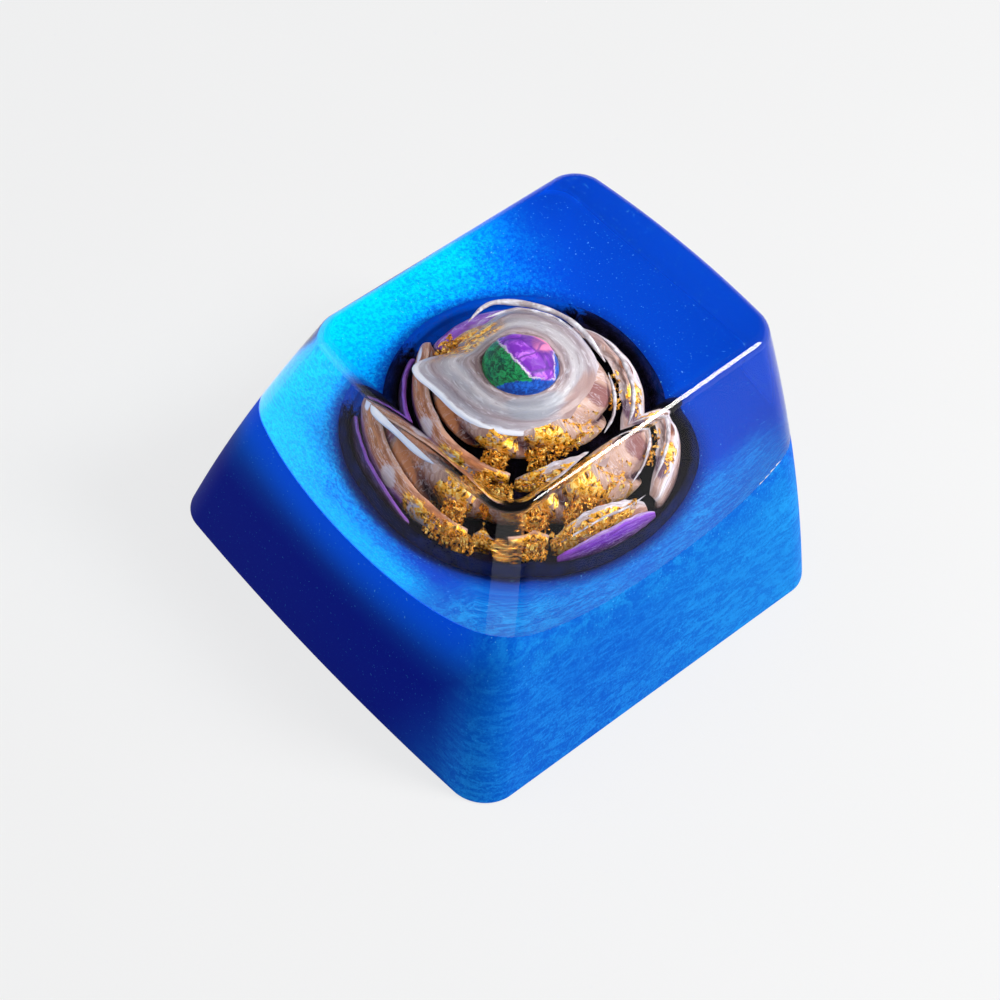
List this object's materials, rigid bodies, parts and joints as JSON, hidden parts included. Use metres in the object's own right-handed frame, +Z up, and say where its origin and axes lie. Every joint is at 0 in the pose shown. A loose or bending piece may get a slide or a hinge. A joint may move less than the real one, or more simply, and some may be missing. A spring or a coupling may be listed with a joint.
{
  "type": "artisan keycap",
  "caption": "Sculpted one-unit keycap with a pearl-blue lower casting, a cross-stem post and a clear top casting that holds a curled blossom round a painted bead.",
  "frame": {"origin": "middle of the rim's bounding box, on the plane that the rim rests on", "axes": "+Z up out of the top face, -Y towards the typist, +X to the typist's right"},
  "size_m": [0.018, 0.0184, 0.012],
  "materials": {
    "pearl_resin": "polished resin with fine blue mica",
    "clear_resin": "water-clear polished resin",
    "dark_paint": "gloss black-violet paint under resin",
    "shell_paint": "smoky pink and brown washes with gold leaf",
    "amber_petal": "amber wash with a violet rim",
    "gilt_petal": "gold leaf over pink-brown wash",
    "pale_petal": "milky white and pink wash",
    "violet_petal": "violet wash with white veins",
    "plum_lobe": "dark plum wash with a violet rim",
    "violet_lobe": "violet pearl wash",
    "smoky_white": "translucent smoky white",
    "bead_paint": "green, lilac and blue paint in three fields"
  },
  "bodies": {
    "root": {"skirt": "pearl_resin", "clear_block": "clear_resin", "saucer": "dark_paint", "core": "shell_paint", "front_petal": "amber_petal", "right_petal": "gilt_petal", "back_petal": "pale_petal", "left_petal": "violet_petal", "front_lobe": "plum_lobe", "right_lobe": "violet_lobe", "collar": "smoky_white", "bead": "bead_paint"}
  },
  "joints": []
}
